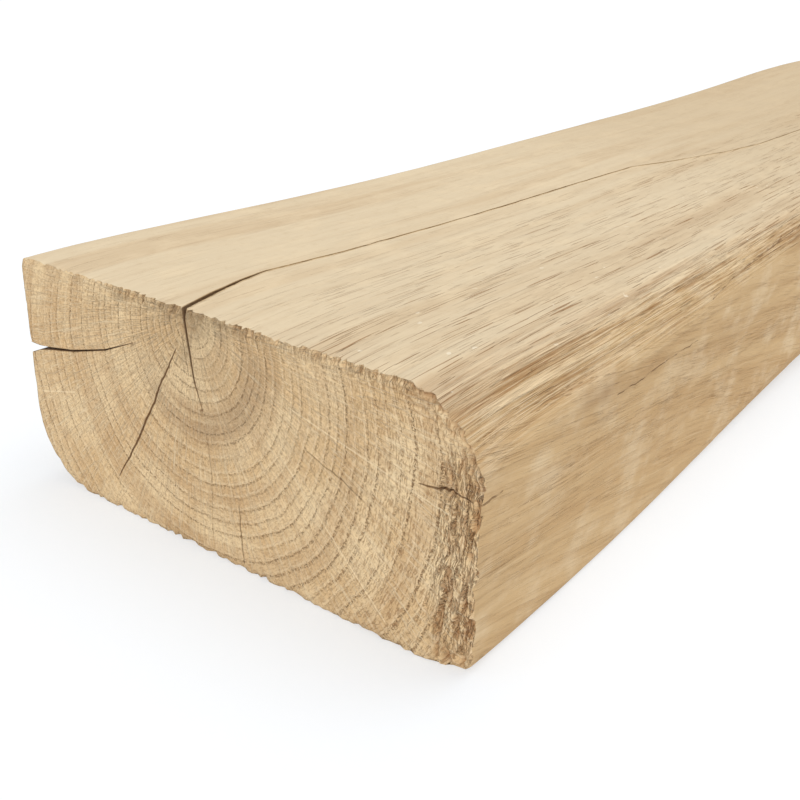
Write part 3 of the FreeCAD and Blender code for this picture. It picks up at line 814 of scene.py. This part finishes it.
def long_grain():
    """The long faces: streaks, rows of open pores, brown stains, and a paler, dustier top, with painted
    shade in grooves, splits and checks, and painted highlights and shade on the wane's ridges.
    """
    s = Shading("oak_long_grain")
    x, along, z = s.axes("place")
    around, year = s.value("around"), s.value("year")
    weather, wane, cavity_shade, stain = (s.value(n) for n in ("weather", "wane", "cavity_shade", "stain"))
    side = s.math("SUBTRACT", 1.0, weather, clamp=True)

    wander = s.times(s.math("SUBTRACT", s.streaks(around, along, 40, 260, 3.1, 2.0), 0.5), 3.5)
    level = s.add(around, s.times(wander, s.ramp(along, 0, 60, 0.4, 1.0)))
    arch = s.times(s.math("SUBTRACT", s.streaks(z, along, 60, 240, 6.4, 1.0), 0.5), 26.0)
    sloping = s.add(z, s.times(along, 0.17), arch)
    on_side = s.times(s.ramp(x, 88, 108), s.ramp(z, 78, 92, 1.0, 0.0))

    def field(width, length, offset, detail=1.0, roughness=0.5):
        """Streaks that run straight on the top and slope and arch on the sides."""
        straight = s.streaks(level, along, width, length, offset, detail, roughness)
        arched = s.streaks(sloping, along, width * 0.9, length, offset, detail, roughness)
        return s.node("ShaderNodeMix", {0: on_side, 2: straight, 3: arched}, data_type="FLOAT").outputs[0]

    broad = field(15, 300, 1.7, 3.0)
    middle = field(3.4, 170, 5.3, 3.0)
    fine = field(0.8, 70, 9.1, 2.0, 0.6)
    mottle = s.streaks(around, along, 22, 34, 2.0, 4.0, 0.6)
    dust = s.streaks(around, along, 3, 7, 12.0, 4.0, 0.65)

    plain = s.math("SUBTRACT", 1.0, s.math("MAXIMUM", wane, s.times(weather, 0.8)), clamp=True)
    phase = s.math("FRACT", s.add(year, s.times(s.math("SUBTRACT", middle, 0.5), 0.7)))
    early = s.times(s.ramp(phase, 0.0, 0.1), s.ramp(phase, 0.12, 0.42, 1.0, 0.0), plain)
    pores = field(0.3, 9, 4.4)
    long_pores = field(0.36, 30, 6.8)
    hairs = field(1.2, 130, 8.2)
    ridges = s.streaks(level, along, 1.5, 80, 2.6, 3.0, 0.6)
    splinters = s.streaks(level, along, 0.55, 26, 15.6, 2.0, 0.6)
    lines = field(0.6, 34, 11.3)
    short = s.add(0.3, s.times(early, 0.5), s.times(weather, -0.2))
    open_grain = s.add(s.times(s.ramp(pores, 0.62, 0.68), short),
                       s.times(s.ramp(long_pores, 0.64, 0.69), s.add(0.6, s.times(weather, -0.35))),
                       s.times(s.ramp(lines, 0.655, 0.675), s.add(1.0, s.times(weather, 0.7))),
                       s.times(s.ramp(hairs, 0.68, 0.71), 0.5))
    right_top = s.times(weather, s.ramp(x, -20, 40, 0.0, 1.0))
    density = s.add(0.1, s.times(right_top, 0.45), s.times(wane, 0.6), s.times(side, 0.12))
    open_grain = s.times(open_grain, density, s.ramp(broad, 0.3, 0.6, 0.4, 1.1))

    wavy = s.add(z, s.times(s.math("SUBTRACT", s.streaks(z, along, 30, 9, 8.8, 3.0), 0.5), 3.2))
    splits = 0.0
    for start, end, half in SIDE_SPLITS:
        splits = s.math("MAXIMUM", splits, s.along_line(along, wavy, start, end, half))
    broken = s.ramp(s.streaks(z, along, 12, 7, 14.2, 2.0), 0.42, 0.56, 0.25, 1.0)
    splits = s.times(splits, s.ramp(x, 70, 90), broken)
    # Where the wane's ridges and splinters get relief, painted highlights on their tops and painted shade
    # between them, fading further along.
    ridge_light_and_relief = s.times(wane, s.ramp(along, 220, 480, 0.5, 0.22))
    flecks = s.streaks(x, along, 4, 8, 21.0, 2.0)

    tone = s.painted(s.blend(weather, colour(209, 178, 133), colour(222, 203, 171)), [
        (s.times(s.ramp(broad, 0.4, 0.64), s.add(0.28, s.times(side, 0.28))), (192, 156, 110)),
        (s.ramp(mottle, 0.45, 0.68, 0.0, 0.5), (232, 211, 176)),
        (s.times(s.ramp(middle, 0.5, 0.72), s.add(0.06, s.times(side, 0.25))), (178, 142, 98)),
        (s.ramp(fine, 0.52, 0.75, 0.0, 0.2), (236, 216, 183)),
        (s.ramp(dust, 0.5, 0.75, 0.0, 0.2), (190, 160, 120)),
        (s.times(early, s.add(0.05, s.times(side, 0.2))), (186, 150, 105)),
        (s.times(s.ramp(along, 260, 620, 0.0, 0.5), weather), (200, 176, 140)),
        (s.times(stain, 0.85), (150, 112, 72)),
        (s.math("MINIMUM", s.times(open_grain, 0.75), 0.7), (148, 100, 52)),
        # painted shade in the grooves
        (s.times(cavity_shade, 0.4), (152, 106, 58)),
        # painted shade in the fine splits of the right side
        (s.times(splits, 0.65), (122, 82, 44)),
        # painted highlights on the tops of the wane's ridges and splinters, and painted shade between them
        (s.times(s.ramp(ridges, 0.53, 0.6), ridge_light_and_relief), (240, 217, 178)),
        (s.times(s.ramp(ridges, 0.42, 0.37), ridge_light_and_relief), (158, 114, 66)),
        (s.times(s.ramp(splinters, 0.55, 0.62), ridge_light_and_relief), (238, 213, 174)),
        (s.times(s.ramp(splinters, 0.42, 0.36), ridge_light_and_relief), (156, 110, 62)),
        (s.times(s.ramp(flecks, 0.7, 0.74), s.ramp(x, 30, 60), weather, 0.6), (246, 234, 210)),
        # painted shade inside the checks
        (s.times(s.value("check"), 0.85), (96, 66, 39)),
    ])

    height = s.add(s.times(fine, 0.5), s.times(middle, 0.5), s.times(open_grain, -1.1),
                   s.times(splits, -1.2), s.times(early, -0.3), s.times(ridges, ridge_light_and_relief, 7.0),
                   s.times(splinters, ridge_light_and_relief, 2.8))
    rough = s.ramp(fine, 0.2, 0.8, 0.72, 0.9)
    return s.finish(tone, rough, height, 0.42)


def end_grain():
    """The sawn ends: growth rings with their rows of pores, and rays running out from the pith, with painted
    shade in grooves, torn slots and closed checks.
    """
    s = Shading("oak_end_grain")
    x, along, z = s.axes("place")
    dx, _, dz = s.axes("log")
    year, radius, cavity_shade = s.value("year"), s.value("radius"), s.value("cavity_shade")
    angle = s.math("ARCTAN2", dx, s.times(dz, -1.0))

    def speckle(size, offset, detail, roughness=0.5):
        """Noise in even cells of this size."""
        return s.streaks(x, z, size, size, offset, detail, roughness)

    wobble = s.math("SUBTRACT", speckle(14, 0.0, 4.0, 0.55), 0.5)
    jagged = s.math("SUBTRACT", speckle(1.6, 9.0, 2.0), 0.5)
    turned = s.add(year, s.times(wobble, 0.4), s.times(jagged, 0.22))
    phase = s.math("FRACT", turned)
    ring_number = s.math("FLOOR", turned)
    ring_strength = s.ramp(s.noise(s.vector(s.times(ring_number, 0.77), s.times(angle, 0.9), 4.0), 1.0),
                           0.35, 0.62, 0.15, 1.0)
    early = s.times(s.ramp(phase, 0.0, 0.08), s.ramp(phase, 0.1, 0.3, 1.0, 0.0), ring_strength)
    late = s.ramp(phase, 0.5, 0.95)

    fine_rays = s.streaks(angle, radius, 1 / 150, 9, 1.0, 2.0)
    hatch = s.streaks(angle, radius, 1 / 70, 16, 6.0, 2.0)
    ray_field = s.streaks(angle, radius, 1 / 20, 46, 2.0, 1.0)
    ray_lines = s.math("ABSOLUTE", s.math("SUBTRACT", ray_field, 0.5))
    rays = s.times(s.ramp(ray_lines, 0.002, 0.012, 1.0, 0.0), s.ramp(radius, 8, 20))
    wide_rays = s.ramp(fine_rays, 0.54, 0.66)

    speck = speckle(0.5, 3.0, 2.0, 0.6)
    grit = speckle(1.2, 7.0, 4.0, 0.65)
    patch = speckle(26, 5.0, 3.0)
    outer = s.ramp(x, 0, 70)
    bands = s.noise(s.vector(s.times(turned, 0.4), s.times(angle, 0.5), 1.0), 2.0)
    row = speckle(0.9, 13.0, 1.0)
    crossed = s.ramp(fine_rays, 0.6, 0.5)
    pores = s.times(early, s.ramp(row, 0.48, 0.56), crossed, s.add(0.7, s.times(outer, 0.3)))
    scatter = s.times(s.ramp(speck, 0.60, 0.70), s.ramp(patch, 0.4, 0.6), 0.5)
    dark_ring = s.times(s.ramp(s.math("ABSOLUTE", s.math("SUBTRACT", radius, 31)), 1.0, 8.0, 1.0, 0.0),
                        s.ramp(bands, 0.4, 0.6, 0.4, 1.0), s.ramp(angle, -1.3, -0.7),
                        s.ramp(angle, 0.9, 1.6, 1.0, 0.0))
    pale = s.times(s.ramp(phase, 0.72, 0.86), s.ramp(phase, 0.92, 1.0, 1.0, 0.0), s.ramp(patch, 0.3, 0.6))
    grid = s.times(s.ramp(x, 50, 72), s.ramp(x, 96, 106, 1.0, 0.0), s.ramp(z, 36, 58))
    ringlets = s.streaks(s.add(radius, s.times(jagged, 1.2)), angle, 0.5, 0.04, 18.0, 2.0, 0.6)
    ringlets = s.times(s.ramp(ringlets, 0.53, 0.62), s.add(0.26, s.times(s.ramp(x, 40, 85), 0.24)))
    near = s.ramp(along, 18, 30, 1.0, 0.0)
    lean = s.add(x, s.times(wobble, 5.0))
    right_tear = s.times(s.ramp(lean, 94, 102), s.ramp(z, 3, 14), s.ramp(z, 72, 86, 1.0, 0.0), near)
    top_tear = s.times(s.ramp(z, 94, 98), s.ramp(x, -60, -50), s.ramp(x, 84, 92, 1.0, 0.0), near)
    # Dark dashes in the torn wood: partly its own reddish brown, partly painted shade of its slots.
    tears = s.ramp(s.streaks(lean, z, 0.62, 6, 16.0, 2.0), 0.5, 0.58)
    tears = s.times(tears, s.math("MAXIMUM", right_tear, s.times(top_tear, 0.5)))
    pale_rays = [s.times(s.along_line(x, z, start, end, 0.33), near, 0.75) for start, end in PALE_RAYS]

    tone = s.painted(s.blend(s.ramp(patch, 0.35, 0.68), colour(240, 213, 169), colour(224, 191, 144)), [
        (s.ramp(bands, 0.42, 0.62, 0.0, 0.4), (198, 162, 119)),
        (s.times(late, 0.15), (236, 211, 172)),
        (s.times(pale, 0.3), (245, 223, 186)),
        (s.times(early, 0.08), (180, 142, 98)),
        (s.times(dark_ring, 0.45), (158, 124, 90)),
        (s.ramp(grit, 0.48, 0.68, 0.0, 0.42), (160, 123, 82)),
        (s.ramp(grit, 0.3, 0.46, 0.3, 0.0), (236, 214, 176)),
        (s.times(s.ramp(hatch, 0.5, 0.62), s.add(0.16, s.times(grid, 0.1))), (160, 118, 74)),
        (ringlets, (156, 110, 66)),
        (s.math("MAXIMUM", s.times(pores, 0.62), s.times(scatter, 0.4)), (136, 92, 52)),
        (s.times(wide_rays, 0.5), (242, 218, 180)),
        (s.times(rays, 0.42), (240, 218, 180)),
        # the torn wood's own reddish-brown dashes, with painted shade of its slots
        (s.times(tears, 0.5), (134, 88, 46)),
        *((ray, (246, 222, 182)) for ray in pale_rays),
        # painted shade in the grooves and torn slots
        (s.times(cavity_shade, 0.5), (150, 94, 46)),
        # painted shade inside the closed checks
        (s.times(s.value("check"), 0.82), (104, 66, 32)),
    ])

    height = s.add(s.times(pores, -1.3), s.times(early, -0.25), s.times(wide_rays, 0.4), s.times(speck, 0.5),
                   s.times(grit, -0.8), s.times(hatch, s.add(-0.5, s.times(grid, -0.6))),
                   s.times(rays, 0.3), s.times(tears, -2.0), s.times(ringlets, -0.8))
    return s.finish(tone, 0.85, height, 0.45)


# ---------------------------------------------------------------- stage

def shade_floor():
    """A white floor that keeps a pale shadow: the camera sees it lifted towards white."""
    s = Shading("floor_white")
    paint, faint = (s.node("ShaderNodeBsdfDiffuse", {"Color": shade}).outputs[0]
                    for shade in (FLOOR_COLOUR, FLOOR_SEEN))
    lift = s.node("ShaderNodeEmission", {"Strength": FLOOR_LIFT}).outputs[0]
    seen = s.node("ShaderNodeAddShader", {0: faint, 1: lift}).outputs[0]
    by_camera = s.node("ShaderNodeLightPath").outputs["Is Camera Ray"]
    pick = s.node("ShaderNodeMixShader", {0: by_camera, 1: paint, 2: seen}).outputs[0]
    s.give(s.tree.nodes["Material Output"].inputs["Surface"], pick)
    s.tree.nodes.remove(s.shader)
    return s.material


def add_stage():
    bpy.ops.mesh.primitive_plane_add(size=30, location=(0, 0, 0))
    floor = bpy.context.active_object
    floor.name = "floor"
    floor.data.materials.append(shade_floor())

    world = bpy.data.worlds.new("studio")
    bpy.context.scene.world = world
    world.use_nodes = True
    nodes, links = world.node_tree.nodes, world.node_tree.links
    back = nodes["Background"]
    back.inputs["Color"].default_value = (1, 1, 1, 1)
    path = nodes.new("ShaderNodeLightPath")
    strength = nodes.new("ShaderNodeMapRange")
    strength.inputs[3].default_value = SKY
    strength.inputs[4].default_value = 1.0
    links.new(path.outputs["Is Camera Ray"], strength.inputs[0])
    links.new(strength.outputs[0], back.inputs["Strength"])


def add_sun(name, source, angle, strength):
    """A soft lamp far away, in the direction of source."""
    lamp = bpy.data.lights.new(name, "SUN")
    lamp.angle = math.radians(angle)
    lamp.energy = strength
    made = bpy.data.objects.new(name, lamp)
    made.rotation_euler = (-Vector(source)).to_track_quat("-Z", "Y").to_euler()
    bpy.context.scene.collection.objects.link(made)


def add_camera():
    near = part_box(NODE)[0][1]
    data = bpy.data.cameras.new("camera")
    data.sensor_width = 36
    data.lens = CAMERA_LENS
    data.clip_start = 0.01
    camera = bpy.data.objects.new("camera", data)
    across, from_near, up = CAMERA_PLACE
    camera.location = (across, near + from_near, up)
    yaw, down, roll = (math.radians(degrees) for degrees in CAMERA_TURN)
    level = Matrix.Rotation(yaw, 3, "Z") @ Matrix.Rotation(math.pi / 2 - down, 3, "X")
    camera.rotation_euler = (level @ Matrix.Rotation(roll, 3, "Z")).to_euler()
    bpy.context.scene.collection.objects.link(camera)
    bpy.context.scene.camera = camera


def main():
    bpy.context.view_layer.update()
    add_camera()
    add_stage()
    for sun in SUNS:
        add_sun(*sun)
    beam = build_beam(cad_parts[NODE])
    beam.data.materials.append(long_grain())
    beam.data.materials.append(end_grain())
    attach(beam, "root")
    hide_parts(NODE)
    bpy.context.scene.view_settings.view_transform = "Standard"


main()
